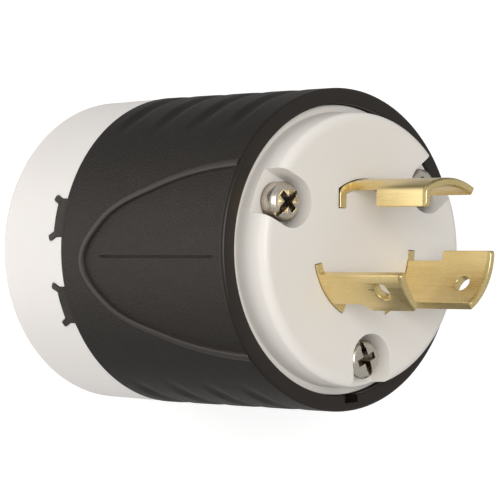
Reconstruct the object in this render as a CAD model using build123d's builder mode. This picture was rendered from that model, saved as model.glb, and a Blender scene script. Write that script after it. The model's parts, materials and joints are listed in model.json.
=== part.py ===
"""Locking power plug: three curved blades in a nylon face, a black grip and a rear cord clamp.

Millimetres. +Z runs along the plug's axis, from the cord end to the blades. The origin is the
middle of the flat rear face, which the plug stands on.
"""
import os
from math import atan2, cos, degrees, radians, sin, sqrt

from build123d import *

os.makedirs("parts", exist_ok=True)

# Fits
FIT = 0.15  # gap all round between moulded parts that slide together
THREAD_FIT = 0.02  # gap between a screw and the hole that it is threaded into
OVERCUT = 1.0  # how far a cutting shape runs past the surface that it cuts

# Grip shell
BODY_R = 28.0  # at the front rim
GRIP_DRAFT = 0.4  # how much the grip narrows towards the collar
SEAM_Z = 17.8  # rear end of the grip, where the collar begins
RIM_Z = 60.6  # flat front rim
RIM_ROUND = 0.7
SHELL_WALL = 3.0
LEDGE_WIDTH = 1.5  # how far the seat of the face stands in from the shell's wall
LEDGE_HEIGHT = 3.6
BOSS_R = 3.4
BOSS_WEB = 5.0
BOSS_FLOOR = 1.5  # left below the hole of a boss

# Arched panels, one on each hand of the grip
PANEL_ANGLE = 184.5
PANEL_DEPTH = 0.3
ARCH_APEX = 4.8  # from the seam to the top of the arch
ARCH_HALF_WIDTH = 17.2
BEAD_WIDTH = 1.1
BEAD_HEIGHT = 0.3
ARCH_POINTS = 8  # points on each half of the arch's curve
DIVIDER_LENGTH = 29.3
DIVIDER_WIDTH = 0.45
DIVIDER_DEPTH = 0.2
DIVIDER_SIDE = 1.0  # off the middle of the panel
DIVIDER_START = 5.6  # from the top of the arch

# Finger flutes above and below the panels
FLUTE_COUNT = 4
FLUTE_START = 5.3  # from the seam to the middle of the first flute
FLUTE_PITCH = 9.6
FLUTE_WIDTH = 5.4
FLUTE_DEPTH = 0.45
FLUTE_HALF_ANGLE = 41.0

# Latch tabs of the grip, which hold the collar
TAB_SPREAD = 16.5  # degrees each side of a panel's middle
TAB_HALF_WIDTH = 3.4
TAB_LENGTH = 2.2
TAB_THICKNESS = 1.7
TAB_JOIN = 1.0  # a tab runs this far up into the grip
EAR_WIDTH = 1.1
EAR_REACH = 1.6

# Rear collar
COLLAR_STEP = 0.1  # the collar's lip stands this far out of the grip's wall
COLLAR_DRAFT = 0.4  # how much the collar narrows towards the rear
COLLAR_WALL = 2.7
COLLAR_ROUND = 2.0
REAR_WALL = 4.0
CORD_ENTRY_R = 12.2
MOUTH_ROUND = 1.0
SPIGOT_LENGTH = 3.8
SPIGOT_WALL = 1.8
LIP_ROUND = 0.3

# Cord clamp
JAW_GAP = 3.0
JAW_HEIGHT = 9.6
JAW_INSET = 8.1  # from the collar's inner wall to the back of a jaw
JAW_CORNER = 2.0
EAR_BACK = 8.0  # from the axis to the outer face of a jaw's screw ears
EAR_INSET = 5.4  # from the collar's inner wall to the end of an ear
EAR_END = 3.8  # from a clamp screw to the end of its ear
CORD_TO_SCREW = 6.1  # from the cord's surface to the middle of a clamp screw
HEAD_TO_JAW = 0.35
CLAMP_SCREW_LENGTH = 17.0
TOOL_HOLE_R = 3.9
RIDGE_COUNT = 2
RIDGE_GROOVE = 1.8
RIDGE_DEPTH = 0.8

# Screws, nuts and washers
SCREW_R = 1.75
SCREW_CLEARANCE = 0.2
HEAD_R = 3.25
HEAD_HEIGHT = 2.5
HEAD_DOME = 1.4
RECESS_WIDTH = 1.0
RECESS_LENGTH = 3.8
RECESS_DEPTH = 1.2
NUT_ACROSS_FLATS = 7.9
NUT_HEIGHT = 2.5
WASHER_R = 3.5
WASHER_HEIGHT = 0.8

# Assembly screws, from the face into the bosses of the grip
SCREW_INSET = 6.2  # from the flange's edge to the middle of a screw
ASSEMBLY_COUNT = 3
ASSEMBLY_FIRST = 34.6
ASSEMBLY_LENGTH = 34.0
HOLE_EXTRA = 1.3  # the hole of a boss goes this far past the screw's tip
RIM_KEY_WIDTH = 3.1  # notch in the rim, in line with the last screw
RIM_KEY_DEPTH = 1.3

# Face plate
RIM_WIDTH = 2.75
FLANGE_HEIGHT = 3.0
FLANGE_STEP = 0.5  # from the flange's edge in to the boss of the face
FACE_RISE = 5.5  # from the rim to the flat of the face
FACE_ROUND = 3.5
POCKET_HALF_WIDTH = 3.9
POCKET_RISE = 0.2  # floor of a screw pocket above the rim

# Terminal block
BLOCK_HEIGHT = 18.6
BLOCK_FLOOR = 1.6
WIRE_HOLE_R = 2.8
WIRE_FUNNEL_R = 3.8
TERMINAL_POCKET_WIDTH = 14.0

# Blades and their terminals
BLADE_R = 12.1
BLADE_T = 1.5
SHOULDER_RISE = 0.3  # the shoulders stand this far out of the face
NOTCH_ROUND = 0.5
LEG_BEND = 1.6
TIP_BEVEL = 0.65
TIP_BEVEL_DEPTH = 0.35
LINE_1_NOTCH = 7.7  # heights from the face to the locking notches, the tips and the holes
LINE_1_TIP = 19.9
LINE_1_EYE = 14.0
LINE_1_RAMP = 1.2  # how much the top of the notch slopes
LINE_1_RAKE = 1.4  # how far the tip falls across the head
LINE_2_NOTCH = 8.2
LINE_2_TIP = 19.4
LINE_2_EYE = 14.4
GROUND_NOTCH = 8.9
GROUND_TIP = 20.5
GROUND_LEG = 7.1  # from the axis to the end of the folded leg
EYE_R = 1.55
ROOT_EXTRA = 1.2  # the root is this much wider than its slot on each side
ROOT_DEPTH = 7.0
TERMINAL_WIDTH = 11.0
ROOT_JOIN = 1.8  # the terminal runs this far up into the root
TERMINAL_HOLE_Z = 6.2  # from the low end of the terminal
TERMINAL_SCREW_R = 2.05
TERMINAL_SCREW_LENGTH = 4.8
TERMINAL_HEAD_R = 3.8
TERMINAL_HEAD_HEIGHT = 2.4
PRESSURE_PLATE_T = 1.2
PRESSURE_PLATE_SIZE = 9.4


class Blade:
    """Outline of one blade: angles in degrees seen from the tips, heights above the face."""

    def __init__(self, slot, neck, head, notch, tip, ramp=0.0, rake=0.0, eye=None, leg=0.0):
        self.slot = slot  # where its shoulders begin and end
        self.neck = neck
        self.head = head
        self.notch = notch
        self.tip = tip
        self.ramp = ramp
        self.rake = rake
        self.eye = eye  # angle and height of the hole in the head
        self.leg = leg
        self.middle = (slot[0] + slot[1]) / 2
        self.half_width = BLADE_R * sin(radians((slot[1] - slot[0]) / 2))

    def along(self, angle):
        """Distance along the sheet, from its middle to an angle."""
        return BLADE_R * sin(radians(angle - self.middle))


BLADES = {
    "blade_line_1": Blade((-167.6, -117.0), (-159.5, -130.0), (-159.5, -121.5), LINE_1_NOTCH, LINE_1_TIP,
                          ramp=LINE_1_RAMP, rake=LINE_1_RAKE, eye=(-143.9, LINE_1_EYE)),
    "blade_line_2": Blade((-66.0, -0.8), (-57.0, -10.0), (-57.0, -0.8), LINE_2_NOTCH, LINE_2_TIP,
                          eye=(-32.5, LINE_2_EYE)),
    "blade_ground": Blade((57.5, 120.5), (60.0, 108.0), (60.0, 120.5), GROUND_NOTCH, GROUND_TIP,
                          leg=GROUND_LEG),
}

# Worked out from the sizes above
GRIP_REAR_R = BODY_R - GRIP_DRAFT
FLANGE_R = BODY_R - RIM_WIDTH - FIT
FACE_R = FLANGE_R - FLANGE_STEP
ASSEMBLY_PCR = FLANGE_R - SCREW_INSET
COLLAR_FRONT_R = GRIP_REAR_R + COLLAR_STEP
COLLAR_REAR_R = COLLAR_FRONT_R - COLLAR_DRAFT
CUP_R = COLLAR_REAR_R - COLLAR_WALL  # inner wall of the collar
JAW_BACK = CUP_R - JAW_INSET
EAR_HALF_SPAN = CUP_R - EAR_INSET
CLAMP_SCREW_Y = EAR_HALF_SPAN - EAR_END
CORD_R = CLAMP_SCREW_Y - CORD_TO_SCREW
JAW_HALF_WIDTH = CLAMP_SCREW_Y - HEAD_R - HEAD_TO_JAW
FACE_Z = RIM_Z + FACE_RISE
LEDGE_Z = RIM_Z - FLANGE_HEIGHT
CHAMBER_R = BODY_R - SHELL_WALL
LEDGE_R = CHAMBER_R - LEDGE_WIDTH
POCKET_FLOOR_Z = RIM_Z + POCKET_RISE
ARCH_TOP_Z = SEAM_Z + ARCH_APEX
TAB_LOW_Z = SEAM_Z - 3 * TAB_LENGTH  # below the ends of the ears
BLOCK_LOW_Z = LEDGE_Z - BLOCK_HEIGHT
BOSS_HOLE_DEPTH = ASSEMBLY_LENGTH - (POCKET_FLOOR_Z - BLOCK_LOW_Z) + HOLE_EXTRA
BOSS_HEIGHT = BOSS_HOLE_DEPTH + BOSS_FLOOR
BLOCK_R = LEDGE_R - FIT
SPIGOT_R = CHAMBER_R - FIT
JAW_LOW_Z = REAR_WALL
CLAMP_SCREW_Z = JAW_LOW_Z + JAW_HEIGHT / 2
ROOT_TOP_Z = LEDGE_Z - FIT
ROOT_LOW_Z = ROOT_TOP_Z - ROOT_DEPTH
TERMINAL_LOW_Z = BLOCK_LOW_Z + BLOCK_FLOOR + FIT
TERMINAL_HEIGHT = ROOT_LOW_Z + ROOT_JOIN - TERMINAL_LOW_Z
TERMINAL_SCREW_Z = TERMINAL_LOW_Z + TERMINAL_HOLE_Z
TIP_CORNER = TIP_BEVEL + 0.1
PLATE_BACK_R = BLADE_R + PRESSURE_PLATE_T
SCREW_HOLE_R = SCREW_R + SCREW_CLEARANCE
THREADED_HOLE_R = SCREW_R + THREAD_FIT
LAST_SCREW = ASSEMBLY_FIRST + 360 / ASSEMBLY_COUNT * (ASSEMBLY_COUNT - 1)


def radial_plane(angle, distance=0.0):
    """Plane square to a radius: its x follows the rim and its y the axis."""
    outward = Vector(1, 0, 0).rotate(Axis.Z, angle)
    sideways = Vector(0, 1, 0).rotate(Axis.Z, angle)
    return Plane(origin=outward * distance, x_dir=sideways, z_dir=outward)


def level_plane(angle, height):
    """Level plane with its x along a radius."""
    return Plane(origin=(0, 0, height), x_dir=Vector(1, 0, 0).rotate(Axis.Z, angle), z_dir=(0, 0, 1))


def grip_r(height):
    """Outer radius of the grip at a height."""
    return BODY_R - GRIP_DRAFT * (RIM_Z - height) / (RIM_Z - SEAM_Z)


def grip_band(inner, outer, low, high):
    """Corners of a section along the grip's surface, inner and outer measured outward from it."""
    return [(grip_r(low) + inner, low), (grip_r(low) + outer, low),
            (grip_r(high) + outer, high), (grip_r(high) + inner, high)]


def wall_patch(corners, angle, outline):
    """A section turned round the axis, and of that the part behind an outline on a radial plane."""
    with BuildPart() as patch:
        with BuildSketch(Plane.XZ):
            with BuildLine():
                Polyline(*corners, close=True)
            make_face()
        revolve(axis=Axis.Z)
        with BuildSketch(radial_plane(angle)):
            add(outline)
        extrude(amount=BODY_R + SHELL_WALL, mode=Mode.INTERSECT)
    return patch.part


def arch_outline(inset=0.0):
    """Arch of a panel, its edge moved in from the outer edge of the bead."""
    arch_end_z = RIM_Z + 2 * BEAD_WIDTH
    rise = arch_end_z - ARCH_TOP_Z
    with BuildLine():
        guide = Spline(
            (0, ARCH_TOP_Z),
            (0.45 * ARCH_HALF_WIDTH, ARCH_TOP_Z + 0.125 * rise),
            (0.8 * ARCH_HALF_WIDTH, ARCH_TOP_Z + 0.45 * rise),
            (ARCH_HALF_WIDTH, arch_end_z),
            tangents=((1, 0), (0, 1)),
        )
    half = []
    for step in range(ARCH_POINTS + 1):
        along = guide % (step / ARCH_POINTS)
        half.append(guide @ (step / ARCH_POINTS) + Vector(-along.Y, along.X) * inset)
    other_half = [Vector(-point.X, point.Y) for point in half[:0:-1]]
    with BuildSketch() as arch:
        with BuildLine():
            edge = Spline(*other_half, *half, tangents=((0, -1), (0, 1)))
            Line(edge @ 1, edge @ 0)
        make_face()
    return arch.sketch


def latch_outline(grow=0.0):
    """Latch tab with two swept-back ears. Grown, it is the notch that the tab drops into."""
    low = SEAM_Z - TAB_LENGTH
    with BuildSketch() as latch:
        with Locations((0, low - grow)):
            Rectangle(2 * (TAB_HALF_WIDTH + grow), 2 * TAB_LENGTH, align=(Align.CENTER, Align.MIN))
        for hand in (-1, 1):
            foot = Vector(hand * (TAB_HALF_WIDTH - EAR_WIDTH / 2), low + EAR_WIDTH / 2)
            reach = Vector(hand * EAR_REACH / 2, -EAR_REACH)
            with Locations(foot + reach / 2):
                SlotCenterToCenter(reach.length, EAR_WIDTH + 2 * grow,
                                   rotation=degrees(atan2(reach.Y, reach.X)))
    return latch.sketch


def blade_section(blade, half_width, grow=0.0, leg=0.0):
    """Cross-section of a blade's sheet, bent to the blade circle, with its leg if it has one."""
    inner_r = BLADE_R - BLADE_T - grow
    outer_r = BLADE_R + grow
    side = half_width + grow
    corner_x = sqrt(outer_r**2 - side**2)
    with BuildSketch() as section:
        Circle(outer_r)
        Circle(inner_r, mode=Mode.SUBTRACT)
        Rectangle(outer_r, 2 * side, align=(Align.MIN, Align.CENTER), mode=Mode.INTERSECT)
        if leg:
            with Locations((leg - grow, side)):
                Rectangle(corner_x - leg + grow, BLADE_T + 2 * grow, align=(Align.MIN, Align.MAX))
            fillet(section.vertices().sort_by_distance((corner_x, side))[0], LEG_BEND + grow)
    return section.sketch


# Grip shell: moulded tube with a stepped seat for the face, screw bosses and latch tabs
panel_sides = (PANEL_ANGLE, PANEL_ANGLE + 180)
latch_angles = [side + hand * TAB_SPREAD for side in panel_sides for hand in (-1, 1)]
flute_floor_r = BODY_R - FLUTE_DEPTH
flute_edge = BODY_R * cos(radians(FLUTE_HALF_ANGLE))
flute_shift = (BODY_R**2 - flute_floor_r**2) / (2 * (flute_floor_r - flute_edge))
flute_tool_r = (FLUTE_WIDTH**2 / 4 + FLUTE_DEPTH**2) / (2 * FLUTE_DEPTH)
flute_ring_r = flute_floor_r + flute_shift + flute_tool_r

with BuildSketch() as bead:
    add(arch_outline())
    add(arch_outline(BEAD_WIDTH), mode=Mode.SUBTRACT)

with BuildSketch() as divider:
    with Locations((-DIVIDER_SIDE, ARCH_TOP_Z + DIVIDER_START + DIVIDER_LENGTH / 2)):
        Rectangle(DIVIDER_WIDTH, DIVIDER_LENGTH)

recess_band = grip_band(-PANEL_DEPTH, OVERCUT, SEAM_Z, RIM_Z + OVERCUT)
recesses = [wall_patch(recess_band, side, arch_outline(BEAD_WIDTH / 2)) for side in panel_sides]
bead_band = grip_band(-SHELL_WALL / 2, BEAD_HEIGHT, SEAM_Z, RIM_Z - RIM_ROUND)
beads = [wall_patch(bead_band, side, bead.sketch) for side in panel_sides]
divider_band = grip_band(-PANEL_DEPTH - DIVIDER_DEPTH, 0, SEAM_Z, RIM_Z)
dividers = [wall_patch(divider_band, side, divider.sketch) for side in panel_sides]
tab_band = [(GRIP_REAR_R - TAB_THICKNESS, TAB_LOW_Z), (GRIP_REAR_R, TAB_LOW_Z),
            (GRIP_REAR_R, SEAM_Z + TAB_JOIN), (GRIP_REAR_R - TAB_THICKNESS, SEAM_Z + TAB_JOIN)]
tabs = [wall_patch(tab_band, angle, latch_outline()) for angle in latch_angles]

with BuildPart() as grip_shell:
    with BuildSketch(Plane.XZ):
        with BuildLine():
            Polyline(
                (CHAMBER_R, SEAM_Z), (GRIP_REAR_R, SEAM_Z), (BODY_R, RIM_Z), (FLANGE_R + FIT, RIM_Z),
                (FLANGE_R + FIT, LEDGE_Z), (LEDGE_R, LEDGE_Z), (LEDGE_R, LEDGE_Z - LEDGE_HEIGHT),
                (CHAMBER_R, LEDGE_Z - LEDGE_HEIGHT - LEDGE_WIDTH), close=True,
            )
        shell_profile = make_face()
        fillet(shell_profile.vertices().sort_by_distance((BODY_R, RIM_Z))[0], RIM_ROUND)
    revolve(axis=Axis.Z)
    for side in panel_sides:
        centre = Vector(-flute_shift, 0, 0).rotate(Axis.Z, side + 90)
        for step in range(FLUTE_COUNT):
            level = SEAM_Z + FLUTE_START + FLUTE_PITCH * step
            with Locations((centre.X, centre.Y, level)):
                Torus(flute_ring_r - BODY_R + grip_r(level), flute_tool_r, mode=Mode.SUBTRACT)
    add(recesses, mode=Mode.SUBTRACT)
    add(beads)
    add(dividers, mode=Mode.SUBTRACT)
    add(tabs)
    with BuildSketch(Plane.XY.offset(BLOCK_LOW_Z - BOSS_HEIGHT)):
        with PolarLocations(ASSEMBLY_PCR, ASSEMBLY_COUNT, start_angle=ASSEMBLY_FIRST):
            Circle(BOSS_R)
            Rectangle(CHAMBER_R + SHELL_WALL / 4 - ASSEMBLY_PCR, BOSS_WEB, align=(Align.MIN, Align.CENTER))
    extrude(amount=BOSS_HEIGHT)
    with Locations((0, 0, BLOCK_LOW_Z)):
        with PolarLocations(ASSEMBLY_PCR, ASSEMBLY_COUNT, start_angle=ASSEMBLY_FIRST):
            Hole(THREADED_HOLE_R, depth=BOSS_HOLE_DEPTH)
    with BuildSketch(level_plane(LAST_SCREW, LEDGE_Z)):
        Rectangle(FLANGE_R + FIT + RIM_KEY_DEPTH, RIM_KEY_WIDTH, align=(Align.MIN, Align.CENTER))
        Circle(LEDGE_R, mode=Mode.SUBTRACT)
    extrude(amount=FLANGE_HEIGHT, mode=Mode.SUBTRACT)
grip_shell.part.label = "grip_shell"
export_step(grip_shell.part, "parts/grip_shell.step")

# Rear collar: white cup with the cord entry, a spigot inside the grip and notches for the latches
notch_band = [(GRIP_REAR_R - TAB_THICKNESS - FIT, TAB_LOW_Z), (COLLAR_FRONT_R + OVERCUT, TAB_LOW_Z),
              (COLLAR_FRONT_R + OVERCUT, SEAM_Z), (GRIP_REAR_R - TAB_THICKNESS - FIT, SEAM_Z)]
notches = [wall_patch(notch_band, angle, latch_outline(FIT)) for angle in latch_angles]

with BuildPart() as rear_collar:
    with BuildSketch(Plane.XZ):
        with BuildLine():
            spigot_top = SEAM_Z + SPIGOT_LENGTH
            spigot_inner = SPIGOT_R - SPIGOT_WALL
            neck_z = SEAM_Z - COLLAR_WALL
            Polyline(
                (CORD_ENTRY_R, 0), (COLLAR_REAR_R, 0), (COLLAR_FRONT_R, SEAM_Z), (SPIGOT_R, SEAM_Z),
                (SPIGOT_R, spigot_top), (spigot_inner, spigot_top), (spigot_inner, neck_z),
                (CUP_R, neck_z - (CUP_R - spigot_inner)), (CUP_R, REAR_WALL),
                (CORD_ENTRY_R, REAR_WALL), close=True,
            )
        collar_profile = make_face()
        fillet(collar_profile.vertices().sort_by_distance((COLLAR_REAR_R, 0))[0], COLLAR_ROUND)
    revolve(axis=Axis.Z)
    mouth = rear_collar.edges().filter_by(GeomType.CIRCLE).sort_by_distance((CORD_ENTRY_R, 0, 0))[0]
    fillet(mouth, MOUTH_ROUND)
    lip = rear_collar.edges().filter_by(GeomType.CIRCLE).sort_by_distance((COLLAR_FRONT_R, 0, SEAM_Z))[0]
    fillet(lip, LIP_ROUND)
    add(notches, mode=Mode.SUBTRACT)
    with BuildSketch(Plane.YZ.offset(JAW_BACK)):
        with Locations((CLAMP_SCREW_Y, CLAMP_SCREW_Z), (-CLAMP_SCREW_Y, CLAMP_SCREW_Z)):
            Circle(TOOL_HOLE_R)
    extrude(amount=COLLAR_FRONT_R, mode=Mode.SUBTRACT)
rear_collar.part.label = "rear_collar"
export_step(rear_collar.part, "parts/rear_collar.step")


# Cord clamp: two saddle jaws drawn together across the cord by two screws
def make_jaw(hand):
    """A jaw on the +X hand carries the screw heads, and one on the -X hand the nuts."""
    toward = Align.MIN if hand > 0 else Align.MAX
    inside = hand * JAW_GAP / 2
    with BuildPart() as jaw:
        with BuildSketch(Plane.XY.offset(JAW_LOW_Z)):
            with Locations((inside, 0)):
                Rectangle(JAW_BACK - JAW_GAP / 2, 2 * JAW_HALF_WIDTH, align=(toward, Align.CENTER))
                Rectangle(EAR_BACK - JAW_GAP / 2, 2 * EAR_HALF_SPAN, align=(toward, Align.CENTER))
            back = [corner for corner in vertices() if abs(corner.X) > JAW_BACK - FIT]
            fillet(back, JAW_CORNER)
            Circle(CORD_R, mode=Mode.SUBTRACT)
        extrude(amount=JAW_HEIGHT)
        ridge_step = JAW_HEIGHT / (RIDGE_COUNT + 1)
        ridge_levels = [JAW_LOW_Z + ridge_step * (step + 1) for step in range(RIDGE_COUNT)]
        with Locations(*[(0, 0, level) for level in ridge_levels]):
            Cylinder(CORD_R + RIDGE_DEPTH, RIDGE_GROOVE, mode=Mode.SUBTRACT)
        with BuildSketch(Plane.YZ):
            with Locations((CLAMP_SCREW_Y, CLAMP_SCREW_Z), (-CLAMP_SCREW_Y, CLAMP_SCREW_Z)):
                Circle(SCREW_HOLE_R)
        extrude(amount=hand * JAW_BACK, mode=Mode.SUBTRACT)
        if hand < 0:
            with BuildSketch(Plane.YZ.offset(-EAR_BACK)):
                with Locations((CLAMP_SCREW_Y, CLAMP_SCREW_Z), (-CLAMP_SCREW_Y, CLAMP_SCREW_Z)):
                    RegularPolygon(NUT_ACROSS_FLATS / 2 + FIT, 6, major_radius=False)
            extrude(amount=NUT_HEIGHT, mode=Mode.SUBTRACT)
    return jaw


cord_clamp_jaw_front = make_jaw(1)
cord_clamp_jaw_front.part.label = "cord_clamp_jaw_front"
export_step(cord_clamp_jaw_front.part, "parts/cord_clamp_jaw_front.step")

cord_clamp_jaw_back = make_jaw(-1)
cord_clamp_jaw_back.part.label = "cord_clamp_jaw_back"
export_step(cord_clamp_jaw_back.part, "parts/cord_clamp_jaw_back.step")

with BuildPart() as cord_clamp_nuts:
    with BuildSketch(Plane.YZ.offset(-EAR_BACK)):
        with Locations((CLAMP_SCREW_Y, CLAMP_SCREW_Z), (-CLAMP_SCREW_Y, CLAMP_SCREW_Z)):
            RegularPolygon(NUT_ACROSS_FLATS / 2, 6, major_radius=False)
            Circle(THREADED_HOLE_R, mode=Mode.SUBTRACT)
    extrude(amount=NUT_HEIGHT)
cord_clamp_nuts.part.label = "cord_clamp_nuts"
export_step(cord_clamp_nuts.part, "parts/cord_clamp_nuts.step")


# Screws: pan heads with a cross recess, standing on the plane's origin and pointing down it
def make_screw(seats, shank_r, length, head_r, head_height):
    """One screw for each seat, a plane under its head with its z out of the head."""
    dome = head_height - HEAD_DOME
    with BuildPart() as screws:
        for seat in seats:
            with BuildSketch(seat):
                Circle(head_r)
            extrude(amount=head_height)
        crowns = screws.faces().filter_by(GeomType.PLANE)
        rims = []
        for seat in seats:
            top = crowns.sort_by_distance(seat.origin + seat.z_dir * head_height)[0]
            rims.append(top.edges()[0])
        fillet(rims, dome)
        for seat in seats:
            with BuildSketch(seat):
                Circle(shank_r)
            extrude(amount=-length)
            with BuildSketch(seat.offset(head_height - RECESS_DEPTH)):
                Rectangle(RECESS_LENGTH, RECESS_WIDTH)
                Rectangle(RECESS_WIDTH, RECESS_LENGTH)
            extrude(amount=RECESS_DEPTH, mode=Mode.SUBTRACT)
    return screws


assembly_spots = PolarLocations(ASSEMBLY_PCR, ASSEMBLY_COUNT, start_angle=ASSEMBLY_FIRST).locations
for number, spot in enumerate(assembly_spots, start=1):
    assembly_seat = Plane(spot).offset(POCKET_FLOOR_Z)
    assembly_screw = make_screw([assembly_seat], SCREW_R, ASSEMBLY_LENGTH, HEAD_R, HEAD_HEIGHT)
    assembly_screw.part.label = f"assembly_screw_{number}"
    export_step(assembly_screw.part, f"parts/assembly_screw_{number}.step")

clamp_seats = [Plane(origin=(EAR_BACK, hand * CLAMP_SCREW_Y, CLAMP_SCREW_Z), z_dir=(1, 0, 0))
               for hand in (-1, 1)]
cord_clamp_screws = make_screw(clamp_seats, SCREW_R, CLAMP_SCREW_LENGTH, HEAD_R, HEAD_HEIGHT)
cord_clamp_screws.part.label = "cord_clamp_screws"
export_step(cord_clamp_screws.part, "parts/cord_clamp_screws.step")

with BuildPart() as retaining_washers:
    with BuildSketch(Plane.XY.offset(LEDGE_Z - WASHER_HEIGHT)):
        with PolarLocations(ASSEMBLY_PCR, ASSEMBLY_COUNT, start_angle=ASSEMBLY_FIRST):
            Circle(WASHER_R)
            Circle(THREADED_HOLE_R, mode=Mode.SUBTRACT)
    extrude(amount=WASHER_HEIGHT)
retaining_washers.part.label = "retaining_washers"
export_step(retaining_washers.part, "parts/retaining_washers.step")

# Face plate: domed nylon disc with a flange, open screw pockets and the blade slots
with BuildPart() as face_plate:
    with BuildSketch(Plane.XZ):
        with BuildLine():
            Polyline((0, LEDGE_Z), (FLANGE_R, LEDGE_Z), (FLANGE_R, RIM_Z), (FACE_R, RIM_Z),
                     (FACE_R, FACE_Z), (0, FACE_Z), close=True)
        face_profile = make_face()
        fillet(face_profile.vertices().sort_by_distance((FACE_R, FACE_Z))[0], FACE_ROUND)
    revolve(axis=Axis.Z)
    with BuildSketch(Plane.XY.offset(POCKET_FLOOR_Z)):
        with PolarLocations(ASSEMBLY_PCR, ASSEMBLY_COUNT, start_angle=ASSEMBLY_FIRST):
            Circle(POCKET_HALF_WIDTH)
            Rectangle(FLANGE_R - ASSEMBLY_PCR, 2 * POCKET_HALF_WIDTH, align=(Align.MIN, Align.CENTER))
    extrude(amount=FACE_RISE, mode=Mode.SUBTRACT)
    with BuildSketch(Plane.XY.offset(LEDGE_Z)):
        with PolarLocations(ASSEMBLY_PCR, ASSEMBLY_COUNT, start_angle=ASSEMBLY_FIRST):
            Circle(SCREW_HOLE_R)
    extrude(amount=FLANGE_HEIGHT + POCKET_RISE, mode=Mode.SUBTRACT)
    for blade in BLADES.values():
        with BuildSketch(level_plane(blade.middle, LEDGE_Z)):
            add(blade_section(blade, blade.half_width, grow=FIT, leg=blade.leg))
        extrude(amount=FLANGE_HEIGHT + FACE_RISE, mode=Mode.SUBTRACT)
face_plate.part.label = "face_plate"
export_step(face_plate.part, "parts/face_plate.step")

# Terminal block: nylon carrier behind the face, with an open pocket for each terminal
with BuildPart() as terminal_block:
    with BuildSketch(Plane.XY.offset(BLOCK_LOW_Z)):
        Circle(BLOCK_R)
    extrude(amount=BLOCK_HEIGHT)
    with BuildSketch(Plane.XY.offset(BLOCK_LOW_Z)):
        with PolarLocations(ASSEMBLY_PCR, ASSEMBLY_COUNT, start_angle=ASSEMBLY_FIRST):
            Circle(SCREW_HOLE_R)
    extrude(amount=BLOCK_HEIGHT, mode=Mode.SUBTRACT)
    with BuildSketch(Plane.XY.offset(LEDGE_Z - WASHER_HEIGHT)):
        with PolarLocations(ASSEMBLY_PCR, ASSEMBLY_COUNT, start_angle=ASSEMBLY_FIRST):
            Circle(WASHER_R + FIT)
    extrude(amount=WASHER_HEIGHT, mode=Mode.SUBTRACT)
    for blade in BLADES.values():
        pocket_low = BLOCK_LOW_Z + BLOCK_FLOOR
        with BuildSketch(level_plane(blade.middle, pocket_low)):
            with Locations((BLADE_R - BLADE_T - FIT, 0)):
                Rectangle(BLOCK_R, TERMINAL_POCKET_WIDTH, align=(Align.MIN, Align.CENTER))
        extrude(amount=BLOCK_HEIGHT, mode=Mode.SUBTRACT)
        with BuildSketch(level_plane(blade.middle, ROOT_LOW_Z - FIT)):
            add(blade_section(blade, blade.half_width + ROOT_EXTRA, grow=FIT))
        extrude(amount=BLOCK_HEIGHT, mode=Mode.SUBTRACT)
        with BuildSketch(radial_plane(blade.middle, PLATE_BACK_R - TERMINAL_SCREW_LENGTH - FIT)):
            with Locations((0, TERMINAL_SCREW_Z)):
                Circle(TERMINAL_SCREW_R + SCREW_CLEARANCE)
        extrude(amount=BLADE_R, mode=Mode.SUBTRACT)
        with BuildSketch(level_plane(blade.middle, BLOCK_LOW_Z)):
            with Locations((BLADE_R + WIRE_HOLE_R / 2, 0)):
                Circle(WIRE_FUNNEL_R)
        with BuildSketch(level_plane(blade.middle, pocket_low)):
            with Locations((BLADE_R + WIRE_HOLE_R / 2, 0)):
                Circle(WIRE_HOLE_R)
        loft(mode=Mode.SUBTRACT)
terminal_block.part.label = "terminal_block"
export_step(terminal_block.part, "parts/terminal_block.step")


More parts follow.
